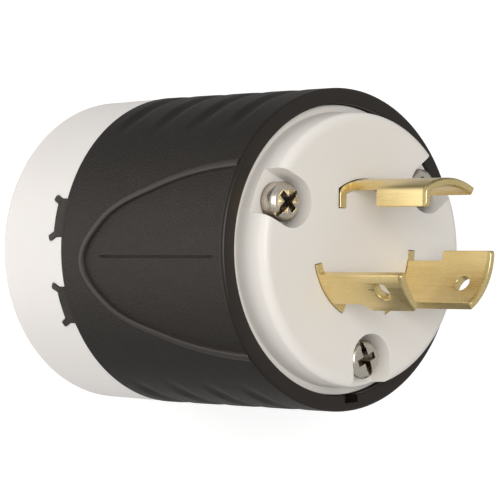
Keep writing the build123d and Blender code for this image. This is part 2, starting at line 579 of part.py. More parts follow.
# Blades: brass sheet bent to the blade circle, with a locking notch and a flat tapped terminal
def make_blade(blade):
    """The bent sheet is trimmed to its outline, pierced and bevelled, and given its terminal."""
    along = blade.along
    shoulder_z = FACE_Z + SHOULDER_RISE
    notch_z = FACE_Z + blade.notch
    tip_z = FACE_Z + blade.tip
    root_half = blade.half_width + ROOT_EXTRA
    outline = [
        (-root_half, ROOT_LOW_Z), (root_half, ROOT_LOW_Z), (root_half, ROOT_TOP_Z),
        (blade.half_width, ROOT_TOP_Z), (blade.half_width, shoulder_z),
        (along(blade.neck[1]), shoulder_z), (along(blade.neck[1]), notch_z - blade.ramp / 2),
        (along(blade.head[1]), notch_z + blade.ramp / 2), (along(blade.head[1]), tip_z - blade.rake),
        (along(blade.head[0]), tip_z), (along(blade.neck[0]), shoulder_z),
        (-blade.half_width, shoulder_z), (-blade.half_width, ROOT_TOP_Z), (-root_half, ROOT_TOP_Z),
    ]
    with BuildPart() as sheet:
        with BuildSketch(level_plane(blade.middle, ROOT_LOW_Z)):
            add(blade_section(blade, root_half))
        extrude(amount=LEDGE_Z - ROOT_LOW_Z)
        with BuildSketch(level_plane(blade.middle, LEDGE_Z)):
            add(blade_section(blade, blade.half_width, leg=blade.leg))
        extrude(amount=tip_z - LEDGE_Z)
        with BuildSketch(radial_plane(blade.middle)):
            with BuildLine():
                Polyline(*outline, close=True)
            make_face()
            middle_z = (shoulder_z + notch_z) / 2
            high_z = (notch_z + tip_z) / 2
            fillet(vertices().filter_by_position(Axis.Y, middle_z, high_z), NOTCH_ROUND)
            chamfer(vertices().filter_by_position(Axis.Y, high_z, tip_z), TIP_CORNER)
        extrude(amount=BLADE_R + OVERCUT, mode=Mode.INTERSECT)
        tip_face = sheet.faces().filter_by(GeomType.PLANE).sort_by(Axis.Z)[-1]
        long_edges = tip_face.edges().sort_by(SortBy.LENGTH)[-2:]
        chamfer(long_edges, TIP_BEVEL_DEPTH, TIP_BEVEL, reference=tip_face)
        with BuildSketch(level_plane(blade.middle, TERMINAL_LOW_Z)):
            with Locations((BLADE_R - BLADE_T, 0)):
                Rectangle(BLADE_T, TERMINAL_WIDTH, align=(Align.MIN, Align.CENTER))
        extrude(amount=TERMINAL_HEIGHT)
        with BuildSketch(radial_plane(blade.middle)):
            with Locations((0, TERMINAL_SCREW_Z)):
                Circle(TERMINAL_SCREW_R + THREAD_FIT)
            if blade.eye:
                with Locations((along(blade.eye[0]), FACE_Z + blade.eye[1])):
                    Circle(EYE_R)
        extrude(amount=BLADE_R + OVERCUT, mode=Mode.SUBTRACT)
    return sheet


for name, blade in BLADES.items():
    sheet = make_blade(blade)
    sheet.part.label = name
    export_step(sheet.part, f"parts/{name}.step")

# Terminals: a square pressure plate under the head of a radial screw
for name, blade in BLADES.items():
    circuit = name.removeprefix("blade_")
    seat = radial_plane(blade.middle, PLATE_BACK_R)
    seat.origin += Vector(0, 0, TERMINAL_SCREW_Z)

    terminal_screw = make_screw([seat], TERMINAL_SCREW_R, TERMINAL_SCREW_LENGTH, TERMINAL_HEAD_R,
                                TERMINAL_HEAD_HEIGHT)
    terminal_screw.part.label = f"terminal_screw_{circuit}"
    export_step(terminal_screw.part, f"parts/terminal_screw_{circuit}.step")

    with BuildPart() as pressure_plate:
        with BuildSketch(seat.offset(-PRESSURE_PLATE_T)):
            RectangleRounded(PRESSURE_PLATE_SIZE, PRESSURE_PLATE_SIZE, BLADE_T / 2)
            Circle(TERMINAL_SCREW_R + SCREW_CLEARANCE, mode=Mode.SUBTRACT)
        extrude(amount=PRESSURE_PLATE_T)
    pressure_plate.part.label = f"pressure_plate_{circuit}"
    export_step(pressure_plate.part, f"parts/pressure_plate_{circuit}.step")
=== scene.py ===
"""Locking power plug, dressed for a studio picture. Sizes are in millimetres until a mesh is made."""

import json
from math import asin, atan2, ceil, cos, degrees, hypot, pi, radians, sin, sqrt

import bmesh
import bpy
import numpy as np
from mathutils import Matrix, Vector


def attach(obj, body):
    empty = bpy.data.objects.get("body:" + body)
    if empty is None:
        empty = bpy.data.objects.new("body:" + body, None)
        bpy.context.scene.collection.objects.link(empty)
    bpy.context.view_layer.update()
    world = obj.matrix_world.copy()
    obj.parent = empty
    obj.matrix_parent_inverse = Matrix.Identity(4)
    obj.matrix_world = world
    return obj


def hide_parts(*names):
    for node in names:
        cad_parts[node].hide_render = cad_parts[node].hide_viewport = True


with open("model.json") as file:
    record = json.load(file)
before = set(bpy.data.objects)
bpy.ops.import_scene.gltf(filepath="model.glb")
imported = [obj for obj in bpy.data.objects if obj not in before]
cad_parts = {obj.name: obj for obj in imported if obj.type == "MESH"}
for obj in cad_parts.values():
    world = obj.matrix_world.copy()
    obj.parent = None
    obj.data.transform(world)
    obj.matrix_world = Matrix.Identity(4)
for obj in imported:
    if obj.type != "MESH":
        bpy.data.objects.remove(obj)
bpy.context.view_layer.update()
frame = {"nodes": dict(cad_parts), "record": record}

MM = 0.001

# Grip shell
BODY_R = 28.0
GRIP_DRAFT = 0.4
SEAM_Z = 17.8
RIM_Z = 60.6
RIM_ROUND = 0.7
CHAMBER_R = 25.0
LEDGE_R = 23.5
LEDGE_Z = 57.6
LEDGE_FOOT = 3.6  # this far below the ledge its wall starts to slope out
CHAMBER_TOP = 5.1  # and this far below it the chamber starts
FACE_SEAT_R = 25.25
SEAT_EDGE = 0.15
KEY_HALF_WIDTH = 1.55  # the notch in the rim, for the key of the face plate
KEY_R = 25.9
KEY_DEPTH = 1.3
BOSS_R = 3.4  # the posts that the assembly screws go into
BOSS_HALF_WIDTH = 2.5
BOSS_REACH = 6.6
BOSS_LOW_Z = 24.0
BOSS_HIGH_Z = 39.0

# Arched panels, with the bead round each arch
PANEL_ANGLE = 184.5
PANEL_DEPTH = 0.3
ARCH_TOP_Z = 22.6
ARCH_HALF_WIDTH = 17.2
BEAD_WIDTH = 1.1
BED_START = 0.2  # under the bead the shell is cut deeper, between these distances in from the arch
BEAD_END = 1.45
BED_DEPTH = 0.9
BED_STOP = 0.4
PANEL_TOP_Z = 59.75  # where a panel and its bead end, short of the rim's rounding
# Points of the bead's section: in from the arch, and out of the wall
BEAD_SECTION = [(-0.15, -0.02), (0.0, 0.07), (0.12, 0.16), (0.3, 0.2), (0.55, 0.21), (0.8, 0.2), (0.98, 0.16),
                (1.1, 0.06), (1.17, -0.12), (1.23, -0.3), (1.3, -0.34), (1.37, -0.3), (1.42, -0.28),
                (1.52, -0.28), (1.62, -0.32), (1.62, -1.4), (-0.15, -1.4)]
DIVIDER_SHIFT = 1.0
DIVIDER_HALF_WIDTH = 0.215
DIVIDER_DEPTH = 0.4
DIVIDER_LOW = 5.6  # above the arch's top
DIVIDER_HIGH = 34.9

# Finger flutes
FLUTE_LEVELS = [23.1, 32.7, 42.3, 51.9]
FLUTE_WIDTH = 5.4
FLUTE_DEPTH = 0.45
FLUTE_HALF_ANGLE = 41.0
FLUTE_FADE = 15.0

# Latch tabs with their ears
LATCH_SPREAD = 16.5
LATCH_HALF_WIDTH = 3.4
LATCH_LENGTH = 2.2
LATCH_CORNER = 0.15
LATCH_GAP = 0.12
LATCH_DEPTH = 1.7
LATCH_PROUD = 0.02
EAR_HALF_WIDTH = 0.55
EAR_RUN = (0.8, -1.6)
EAR_END = 0.2
EAR_ROUND = 0.3

# Rear collar
COLLAR_REAR_R = 27.1
COLLAR_FRONT_R = 27.5
COLLAR_ROUND = 2.0
CORD_ENTRY_R = 12.2
CUP_R = 24.6
CUP_FLOOR_Z = 4.0
CUP_TOP_Z = 13.55
SPIGOT_R = 24.85
SPIGOT_INNER_R = 23.05
SPIGOT_LOW_Z = 15.1
SPIGOT_TOP_Z = 21.6
TOOL_HOLE_R = 3.9
CLAMP_SEAT_X = 8.0
CLAMP_SCREW_Y = 15.4
CLAMP_SCREW_Z = 8.8

# Face plate and screws
FLANGE_R = 25.1
FACE_Z = 66.1
FACE_BASE_R = 23.75  # the boss of the face, where it stands on the flange
FACE_EDGE_R = 23.6
FACE_CORNER = 1.7
FLANGE_Z = 59.1  # the flange lies deep enough for the rim of the grip to hide it from low views
SCREW_CIRCLE_R = 18.9
SCREW_ANGLES = [34.6, 154.6, 274.6]
SCREW_HOLE_R = 1.95
POCKET_HALF_WIDTH = 4.05
POCKET_REACH = 8.0
POCKET_FLARE = 1.14  # a pocket is this many times as wide above the face as at its floor
POCKET_FLOOR_Z = 61.7
POCKET_SOFT = 0.8
HOLE_SOFT = 0.2
SCREW_R = 1.75
ASSEMBLY_HEAD = (3.4, 3.4)  # radius and height of a head, tall enough to come near the top of its pocket
ASSEMBLY_LENGTH = 34.0
ASSEMBLY_TURNS = [20.0, 43.0, 112.0]
CLAMP_HEAD = (3.25, 2.5)
CLAMP_LENGTH = 17.0
CLAMP_TURNS = [25.0, 70.0]
CROSS_HALF_LENGTH = 2.15
CROSS_HALF_WIDTH = 0.6
CROSS_DEPTH = 2.1
SLOT_HALF_WIDTH = 0.45
SLOT_DEPTH = 0.85

# Blades
BLADE_R = 12.1
SHEET = 1.5
SHEET_SOFT = 0.14
BLADE_GAP = 0.12
SLOT_END = 0.6  # degrees of room at each end of a blade's slot
EYE_R = 1.55
LEG_BEND_R = 0.85
TIP_BEVEL = 0.66
TIP_THINNING = 0.42
ROOT_STEP = 1.2
ROOT_LOW_Z = 50.45
ROOT_TOP_Z = 57.45
ROOT_BEND = 1.8  # the flat terminal turns into the curved blade over this height
TERMINAL_LOW_Z = 40.75
TERMINAL_HALF_WIDTH = 5.5
TERMINAL_HOLE_R = 2.07
TERMINAL_HOLE_RISE = 6.2
BLADES = {
    "blade_line_1": {"slot": (-167.6, -117.0), "neck": (-159.5, -130.0), "head": (-159.5, -121.5),
                     "shoulder": 0.3, "notch": 7.7, "tip": 19.9, "ramp": 1.2, "rake": 1.4,
                     "eye": (-143.9, 14.0)},
    "blade_line_2": {"slot": (-66.0, -0.8), "neck": (-57.0, -10.0), "head": (-57.0, -0.8),
                     "shoulder": -0.15, "notch": 8.2, "tip": 19.4, "ramp": 0.0, "rake": 0.0,
                     "eye": (-32.5, 14.4)},
    "blade_ground": {"slot": (57.5, 120.5), "neck": (60.0, 108.0), "head": (60.0, 120.5),
                     "shoulder": 0.3, "notch": 8.9, "tip": 20.5, "ramp": 0.0, "rake": 0.0, "leg": 7.1},
}


# Shapes
def rounded(corners, radii, steps=6):
    """The corners of a closed outline, each turned into an arc of its own radius."""
    points = []
    count = len(corners)
    for i in range(count):
        before = np.array(corners[i - 1], float)
        here = np.array(corners[i], float)
        after = np.array(corners[(i + 1) % count], float)
        if radii[i] <= 0:
            points.append(tuple(here))
            continue
        back = (before - here) / np.linalg.norm(before - here)
        ahead = (after - here) / np.linalg.norm(after - here)
        half = np.arccos(np.clip(back @ ahead, -1, 1)) / 2
        reach = radii[i] / np.tan(half)
        middle = here + (back + ahead) / np.linalg.norm(back + ahead) * radii[i] / np.sin(half)
        start = here + back * reach - middle
        stop = here + ahead * reach - middle
        turn = atan2(start[0] * stop[1] - start[1] * stop[0], start @ stop)
        for step in range(steps + 1):
            angle = turn * step / steps
            points.append((middle[0] + start[0] * cos(angle) - start[1] * sin(angle),
                           middle[1] + start[0] * sin(angle) + start[1] * cos(angle)))
    return points


def finish_mesh(name, mesh, sharp=32.0):
    """Puts a mesh in the scene, with its normals outward and its creases kept."""
    work = bmesh.new()
    work.from_mesh(mesh)
    bmesh.ops.remove_doubles(work, verts=work.verts, dist=1e-7)
    bmesh.ops.recalc_face_normals(work, faces=work.faces)
    work.to_mesh(mesh)
    work.free()
    mesh.shade_smooth()
    mesh.set_sharp_from_angle(angle=radians(sharp))
    piece = bpy.data.objects.new(name, mesh)
    bpy.context.scene.collection.objects.link(piece)
    return piece


def solid(name, verts, faces, sharp=32.0):
    """An object from millimetre points and faces."""
    mesh = bpy.data.meshes.new(name)
    mesh.from_pydata((np.array(verts, float) * MM).tolist(), [], faces)
    return finish_mesh(name, mesh, sharp)


def lathe(profile, columns=192):
    """Points and faces of a profile (radius, height) turned round the axis. An end at radius 0 closes it."""
    angles = np.linspace(0, 2 * pi, columns, endpoint=False)
    verts, rows = [], []
    for r, z in profile:
        if r < 1e-6:
            rows.append([len(verts)])
            verts.append((0, 0, z))
        else:
            rows.append(list(range(len(verts), len(verts) + columns)))
            verts.extend((r * cos(a), r * sin(a), z) for a in angles)
    closed = len(rows[0]) > 1
    pairs = list(zip(rows, rows[1:] + rows[:1])) if closed else list(zip(rows, rows[1:]))
    faces = []
    for low, high in pairs:
        for i in range(columns):
            j = (i + 1) % columns
            quad = [low[i % len(low)], low[j % len(low)], high[j % len(high)], high[i % len(high)]]
            face = list(dict.fromkeys(quad))
            if len(face) > 2:
                faces.append(face)
    return verts, faces


def prism(outline, low, high, place=None):
    """Points and faces of an outline stood between two heights, with place turning (x, y, h) into a point."""
    count = len(outline)
    place = place or (lambda x, y, h: (x, y, h))
    verts = [place(x, y, low) for x, y in outline] + [place(x, y, high) for x, y in outline]
    faces = [list(range(count))[::-1], list(range(count, 2 * count))]
    faces += [[i, (i + 1) % count, count + (i + 1) % count, count + i] for i in range(count)]
    return verts, faces


def together(*shapes):
    """Several (points, faces) as one."""
    verts, faces = [], []
    for more_verts, more_faces in shapes:
        start = len(verts)
        verts.extend(more_verts)
        faces.extend([[start + i for i in face] for face in more_faces])
    return verts, faces


def baked(piece):
    """The piece's modifiers made part of its mesh."""
    graph = bpy.context.evaluated_depsgraph_get()
    mesh = bpy.data.meshes.new_from_object(piece.evaluated_get(graph))
    old = piece.data
    piece.modifiers.clear()
    piece.data = mesh
    mesh.name = old.name
    bpy.data.meshes.remove(old)
    return piece


def join_flats(mesh):
    """Makes one face of the faces that lie in one plane, so that no thin sliver spoils its shading."""
    work = bmesh.new()
    work.from_mesh(mesh)
    bmesh.ops.dissolve_limit(work, angle_limit=radians(0.2), verts=work.verts, edges=work.edges)
    work.to_mesh(mesh)
    work.free()


def carve(piece, shape, soften=0.0, segments=2):
    """Cuts (points, faces) out of a piece, and softens the hard edges that are left."""
    tool = solid("tool", *shape)
    cut = piece.modifiers.new("cut", "BOOLEAN")
    cut.operation = "DIFFERENCE"
    cut.solver = "EXACT"
    cut.use_self = True
    cut.object = tool
    baked(piece)
    bpy.data.objects.remove(tool)
    join_flats(piece.data)
    if soften:
        edge = piece.modifiers.new("edge", "BEVEL")
        edge.limit_method = "ANGLE"
        edge.angle_limit = radians(32)
        edge.width = soften * MM
        edge.segments = segments
        edge.use_clamp_overlap = True
        weights = piece.modifiers.new("weights", "WEIGHTED_NORMAL")
        weights.keep_sharp = True
        baked(piece)
    return piece


def around(angle, radius):
    """Places (u, z, h) on a cylinder: u along its wall from an angle, h out of the wall."""
    def place(u, z, h):
        turn = radians(angle) + u / radius
        return ((radius + h) * cos(turn), (radius + h) * sin(turn), z)
    return place


def ring_slots(outline, places, low, high, flare=1.0):
    """An outline stood at places (angle, radius), facing outward and flare times as wide at the top."""
    shapes = []
    for angle, radius in places:
        c, s = cos(radians(angle)), sin(radians(angle))

        def place(x, y, h, c=c, s=s, radius=radius):
            grow = 1 + (flare - 1) * (h - low) / (high - low)
            x, y = radius + x * grow, y * grow
            return (x * c - y * s, x * s + y * c, h)
        shapes.append(prism(outline, low, high, place))
    return together(*shapes)


def circle(radius, count=48, x=0.0, y=0.0):
    turns = [2 * pi * i / count for i in range(count)]
    return [(x + radius * cos(turn), y + radius * sin(turn)) for turn in turns]


def arc_band(inner, outer, start, stop, count=24):
    """Outline of a piece of a ring between two angles."""
    turns = [radians(start + (stop - start) * i / count) for i in range(count + 1)]
    return ([(outer * cos(a), outer * sin(a)) for a in turns]
            + [(inner * cos(a), inner * sin(a)) for a in reversed(turns)])


# Finishes
class Finish:
    """A material's nodes, with short ways to add and join them."""

    def __init__(self, name, **values):
        self.material = bpy.data.materials.new(name)
        self.material.use_nodes = True
        self.tree = self.material.node_tree
        self.shader = self.tree.nodes["Principled BSDF"]
        self.coords = self.tree.nodes.new("ShaderNodeTexCoord").outputs["Object"]
        for key, value in values.items():
            self.shader.inputs[key.replace("_", " ")].default_value = value

    def join(self, source, target):
        self.tree.links.new(source, target)

    def node(self, kind, inputs=None, **settings):
        node = self.tree.nodes.new(kind)
        for key, value in settings.items():
            setattr(node, key, value)
        for key, value in (inputs or {}).items():
            if isinstance(value, bpy.types.NodeSocket):
                self.join(value, node.inputs[key])
            else:
                node.inputs[key].default_value = value
        return node

    def stretched(self, scale):
        return self.node("ShaderNodeMapping", {"Vector": self.coords, "Scale": scale}).outputs["Vector"]

    def noise(self, scale, detail=3.0, roughness=0.55, vector=None):
        node = self.node("ShaderNodeTexNoise", {"Vector": vector or self.coords, "Scale": scale,
                                                "Detail": detail, "Roughness": roughness})
        return node.outputs["Fac"]

    def spread(self, value, low, high, new_low, new_high):
        node = self.node("ShaderNodeMapRange", {"Value": value, "From Min": low, "From Max": high,
                                                "To Min": new_low, "To Max": new_high})
        return node.outputs["Result"]

    def blend(self, factor, first, second):
        node = self.node("ShaderNodeMix", {0: factor, 6: first, 7: second}, data_type="RGBA")
        return node.outputs[2]

    def bump(self, height, distance, strength=1.0, normal=None):
        inputs = {"Height": height, "Distance": distance * MM, "Strength": strength}
        if normal:
            inputs["Normal"] = normal
        return self.node("ShaderNodeBump", inputs).outputs["Normal"]

    def set(self, key, source):
        self.join(source, self.shader.inputs[key])


def black_nylon():
    """Fine grained sides, a smooth front rim, and beads that hands have rubbed smooth, with a painted
    highlight that lightens their colour.
    """
    finish = Finish("black_nylon", IOR=1.45, Specular_Tint=(1.0, 0.88, 0.8, 1))
    height = finish.node("ShaderNodeSeparateXYZ", {"Vector": finish.coords}).outputs["Z"]
    polish = finish.node("ShaderNodeAttribute", attribute_name="polish").outputs["Fac"]
    behind_rim = finish.spread(height, 0.05975, 0.05985, 1.0, 0.0)
    rough = finish.spread(polish, 0.0, 1.0, 1.0, 0.35)
    grained = finish.node("ShaderNodeMath", {0: behind_rim, 1: rough}, operation="MULTIPLY").outputs[0]
    grain = finish.noise(4000.0, 2.0, 0.6)
    mottle = finish.noise(260.0, 3.0)
    plain = finish.blend(mottle, (0.0115, 0.0098, 0.0082, 1), (0.0165, 0.0144, 0.0122, 1))
    # Painted highlight: the proud beads get a lighter base colour, for the light they catch.
    finish.set("Base Color", finish.blend(polish, plain, (0.040, 0.0355, 0.0318, 1)))
    finish.set("Roughness", finish.spread(grained, 0.0, 1.0, 0.36, 0.46))
    finish.set("Normal", finish.bump(grain, 0.17, grained))
    return finish.material


def white_nylon():
    """Satin moulded nylon with a little light inside it."""
    finish = Finish("white_nylon", IOR=1.5, Subsurface_Weight=0.25, Subsurface_Scale=0.0015,
                    Subsurface_Radius=(1.0, 0.8, 0.6))
    wear = finish.noise(90.0, 4.0)
    height = finish.node("ShaderNodeSeparateXYZ", {"Vector": finish.coords}).outputs["Z"]
    collar = finish.blend(wear, (0.785, 0.752, 0.722, 1), (0.805, 0.774, 0.745, 1))
    face = finish.blend(wear, (0.835, 0.795, 0.742, 1), (0.855, 0.817, 0.766, 1))
    finish.set("Base Color", finish.blend(finish.spread(height, 0.03, 0.05, 0.0, 1.0), collar, face))
    finish.set("Roughness", finish.spread(finish.noise(400.0), 0.0, 1.0, 0.3, 0.42))
    finish.set("Normal", finish.bump(finish.noise(1500.0, 2.0), 0.004))
    return finish.material


def plain_nylon(name, color, roughness):
    finish = Finish(name, IOR=1.5)
    darker = (color[0] * 0.85, color[1] * 0.85, color[2] * 0.85, 1)
    finish.set("Base Color", finish.blend(finish.noise(150.0, 4.0), darker, (*color, 1)))
    finish.set("Roughness", finish.spread(finish.noise(500.0), 0.0, 1.0, roughness - 0.06, roughness + 0.06))
    finish.set("Normal", finish.bump(finish.noise(1800.0, 2.0), 0.008))
    return finish.material


def brushed_metal(name, color, dark, roughness, along=(1.0, 1.0, 0.03), metallic=1.0, recess_shade=False):
    """Metal drawn along its length: long scratches, clouds of tone, and painted shade in its recesses if
    asked.
    """
    finish = Finish(name, Metallic=metallic)
    lines = finish.noise(2600.0, 4.0, 0.7, finish.stretched(along))
    clouds = finish.noise(120.0, 3.0)
    both = finish.node("ShaderNodeMath", {0: lines, 1: clouds}, operation="ADD").outputs[0]
    tone = finish.spread(both, 0.7, 1.3, 0.0, 1.0)
    surface = finish.blend(tone, (*dark, 1), (*color, 1))
    if recess_shade:
        # Painted shade: the colour darkens where the surface is hidden, in recesses and against nearby parts.
        openness = finish.node("ShaderNodeAmbientOcclusion", {"Distance": 1.6 * MM}, samples=8).outputs["AO"]
        unshaded = finish.spread(openness, 0.45, 0.95, 0.0, 1.0)
        surface = finish.blend(unshaded, (0.15, 0.12, 0.085, 1), surface)
    finish.set("Base Color", surface)
    finish.set("Roughness", finish.spread(lines, 0.3, 0.7, roughness - 0.07, roughness + 0.07))
    finish.set("Normal", finish.bump(lines, 0.0015))
    return finish.material


finishes = {
    "black_nylon": black_nylon(),
    "white_nylon": white_nylon(),
    "block_nylon": plain_nylon("block_nylon", (0.66, 0.64, 0.6), 0.45),
    "clamp_nylon": plain_nylon("clamp_nylon", (0.09, 0.09, 0.09), 0.5),
    "brass": brushed_metal("brass", (0.93, 0.745, 0.37), (0.76, 0.59, 0.27), 0.3, metallic=0.9),
    "brass_screw": brushed_metal("brass_screw", (0.8, 0.6, 0.3), (0.66, 0.47, 0.2), 0.34, along=(1, 1, 1)),
    "green_screw": plain_nylon("green_screw", (0.05, 0.28, 0.12), 0.3),
    "plated_steel": brushed_metal("plated_steel", (0.74, 0.69, 0.6), (0.56, 0.51, 0.43), 0.26,
                                  along=(1, 1, 1), recess_shade=True),
}
for part in frame["record"]["subparts"]:
    node = frame["nodes"][part["node"]]
    node.data.materials.clear()
    node.data.materials.append(finishes[part["material_slot"]])


def dress(piece, slot, *nodes):
    """Gives a finished piece its finish, and stands it in for its CAD nodes."""
    piece.data.materials.clear()
    piece.data.materials.append(finishes[slot])
    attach(piece, "root")
    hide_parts(*nodes)


# Grip shell
def arch_curve(steps=24):
    """The arch from its top to the rim, in millimetres across the panel and up the plug."""
    end_z = RIM_Z + 2 * BEAD_WIDTH
    rise = end_z - ARCH_TOP_Z
    knots = np.array([(0, ARCH_TOP_Z), (0.45 * ARCH_HALF_WIDTH, ARCH_TOP_Z + 0.125 * rise),
                      (0.8 * ARCH_HALF_WIDTH, ARCH_TOP_Z + 0.45 * rise), (ARCH_HALF_WIDTH, end_z)])
    spans = np.linalg.norm(np.diff(knots, axis=0), axis=1)
    slopes = [np.array([1.0, 0.0])]
    for i in (1, 2):
        before = (knots[i] - knots[i - 1]) / spans[i - 1]
        after = (knots[i + 1] - knots[i]) / spans[i]
        slope = (before * spans[i] + after * spans[i - 1]) / (spans[i] + spans[i - 1])
        slopes.append(slope / np.linalg.norm(slope))
    slopes.append(np.array([0.0, 1.0]))
    points = []
    for i in range(3):
        for t in np.linspace(0, 1, steps, endpoint=False):
            leaving = (2 * t**3 - 3 * t**2 + 1) * knots[i] + (t**3 - 2 * t**2 + t) * spans[i] * slopes[i]
            points.append(leaving + (3 * t**2 - 2 * t**3) * knots[i + 1]
                          + (t**3 - t**2) * spans[i] * slopes[i + 1])
    points.append(knots[3])
    return np.array(points)


def inside_arch(u, z, curve):
    """How far each point lies inside the arch, and negative outside it."""
    point = np.stack([np.abs(u), z], axis=-1)
    best = np.full(u.shape, 1e9)
    side = np.zeros(u.shape)
    for a, b in zip(curve[:-1], curve[1:]):
        run = b - a
        share = np.clip(((point - a) @ run) / (run @ run), 0, 1)
        away = point - (a + share[..., None] * run)
        gap = np.linalg.norm(away, axis=-1)
        turn = run[0] * away[..., 1] - run[1] * away[..., 0]
        nearer = gap < best
        best = np.where(nearer, gap, best)
        side = np.where(nearer, np.sign(turn), side)
    return best * side


def wrapped(angle):
    return (angle + 180.0) % 360.0 - 180.0


def grip_r(height):
    """Radius of the grip, which narrows a little towards the collar."""
    return BODY_R - GRIP_DRAFT * (RIM_Z - height) / (RIM_Z - SEAM_Z)


def shell_columns(key, key_half):
    """The angles of the shell's columns: close together on the panels, with a pair at each sharp edge."""
    fine, coarse = 0.4, 1.0
    columns = []
    for side in (PANEL_ANGLE, PANEL_ANGLE + 180):
        columns += list(np.arange(side - 44, side + 44, fine))
        columns += list(np.arange(side + 44, side + 136, coarse))
        groove = side - degrees(DIVIDER_SHIFT / BODY_R)
        columns += [groove - 0.5, groove - 0.42, groove + 0.42, groove + 0.5]
    columns += [key - key_half - 0.05, key - key_half, key + key_half, key + key_half + 0.05]
    return np.unique(np.round(np.mod(columns, 360.0), 4))


def shell_radius(phi, z):
    """Radius of the shell's outside at each angle and height, before the rim's rounding."""
    curve = arch_curve()
    surface = grip_r(z)
    radius = surface.copy()
    for side in (PANEL_ANGLE, PANEL_ANGLE + 180):
        away = wrapped(phi - side)
        front = np.abs(away) < 80
        u = BODY_R * np.sin(np.radians(away))
        depth = inside_arch(np.where(front, u, 60.0), z, curve)
        panel = front & (z < PANEL_TOP_Z)
        radius = np.where(panel & (depth > BEAD_END), surface - PANEL_DEPTH, radius)
        bed = (depth > BED_START) & (depth <= BEAD_END) & (z < PANEL_TOP_Z - BED_STOP)
        radius = np.where(panel & bed, surface - BED_DEPTH, radius)
        groove = (np.abs(u + DIVIDER_SHIFT) < DIVIDER_HALF_WIDTH) & (z > ARCH_TOP_Z + DIVIDER_LOW)
        radius = np.where(front & groove & (z < ARCH_TOP_Z + DIVIDER_HIGH), radius - DIVIDER_DEPTH, radius)
        spread = np.abs(wrapped(phi - side - 90))
        fade = np.clip((FLUTE_HALF_ANGLE - spread) / FLUTE_FADE, 0, 1)
        fade = fade * fade * (3 - 2 * fade)
        for level in FLUTE_LEVELS:
            wave = np.clip(np.abs(z - level) / (FLUTE_WIDTH / 2), 0, 1)
            radius = radius - FLUTE_DEPTH * fade * 0.5 * (1 + np.cos(pi * wave))
    return radius


def shell_surface():
    """The shell as one closed skin: fluted and panelled outside, stepped inside for the face."""
    key = SCREW_ANGLES[-1]
    key_half = degrees(KEY_HALF_WIDTH / KEY_R)
    columns = shell_columns(key, key_half)
    row_step = 0.36
    side_z = list(np.arange(SEAM_Z, PANEL_TOP_Z - 0.2, row_step)) + [PANEL_TOP_Z - 0.01, PANEL_TOP_Z + 0.03]
    rows = [(z, 0.0) for z in side_z]
    for turn in np.linspace(0, pi / 2, 7):
        rows.append((RIM_Z - RIM_ROUND + RIM_ROUND * sin(turn), RIM_ROUND * (1 - cos(turn))))
    phi, z = np.meshgrid(columns, [row[0] for row in rows])
    radius = shell_radius(phi, z) - np.array([row[1] for row in rows])[:, None]

    inner = [(FACE_SEAT_R + SEAT_EDGE, RIM_Z), (FACE_SEAT_R, RIM_Z - SEAT_EDGE), (FACE_SEAT_R, LEDGE_Z),
             (LEDGE_R, LEDGE_Z), (LEDGE_R, LEDGE_Z - LEDGE_FOOT), (CHAMBER_R, LEDGE_Z - CHAMBER_TOP),
             (CHAMBER_R, SEAM_Z)]
    in_key = np.abs(wrapped(columns - key)) <= key_half + 0.001
    across, along = np.cos(np.radians(columns)), np.sin(np.radians(columns))
    grid = []
    for i, row in enumerate(rows):
        level = np.full(columns.shape, row[0])
        grid.append(np.stack([radius[i] * across, radius[i] * along, level], axis=-1))
    for i, (r, level) in enumerate(inner):
        wall = np.where(in_key & (i < 3), r + KEY_DEPTH, r)
        grid.append(np.stack([wall * across, wall * along, np.full(columns.shape, level)], axis=-1))
    count = len(columns)
    verts = np.concatenate(grid).tolist()
    faces = []
    for row in range(len(grid)):
        low, high = row * count, ((row + 1) % len(grid)) * count
        faces += [[low + i, low + (i + 1) % count, high + (i + 1) % count, high + i] for i in range(count)]
    return verts, faces


def bead_strip(side):
    """The raised bead round a panel, with the fine groove inside it."""
    curve = arch_curve()
    left = curve[::-1] * np.array([-1, 1])
    line = np.concatenate([left[:-1], curve])
    stop = PANEL_TOP_Z + 0.1
    half = np.interp(stop, curve[:, 1], curve[:, 0])
    line = np.concatenate([[(-half, stop)], line[line[:, 1] < stop - 0.05], [(half, stop)]])
    tangent = np.gradient(line, axis=0)
    tangent /= np.linalg.norm(tangent, axis=1)[:, None]
    inward = np.stack([-tangent[:, 1], tangent[:, 0]], axis=-1)
    verts = []
    for point, normal in zip(line, inward):
        for inset, h in BEAD_SECTION:
            u, z = point + normal * inset
            turn = radians(side) + asin(u / BODY_R)
            r = grip_r(z) + h
            verts.append((r * cos(turn), r * sin(turn), z))
    count, rings = len(BEAD_SECTION), len(line)
    faces = []
    for i in range(rings - 1):
        for j in range(count):
            k = (j + 1) % count
            faces.append([i * count + j, i * count + k, (i + 1) * count + k, (i + 1) * count + j])
    faces.append(list(range(count)))
    faces.append(list(range((rings - 1) * count, rings * count)))
    return verts, faces


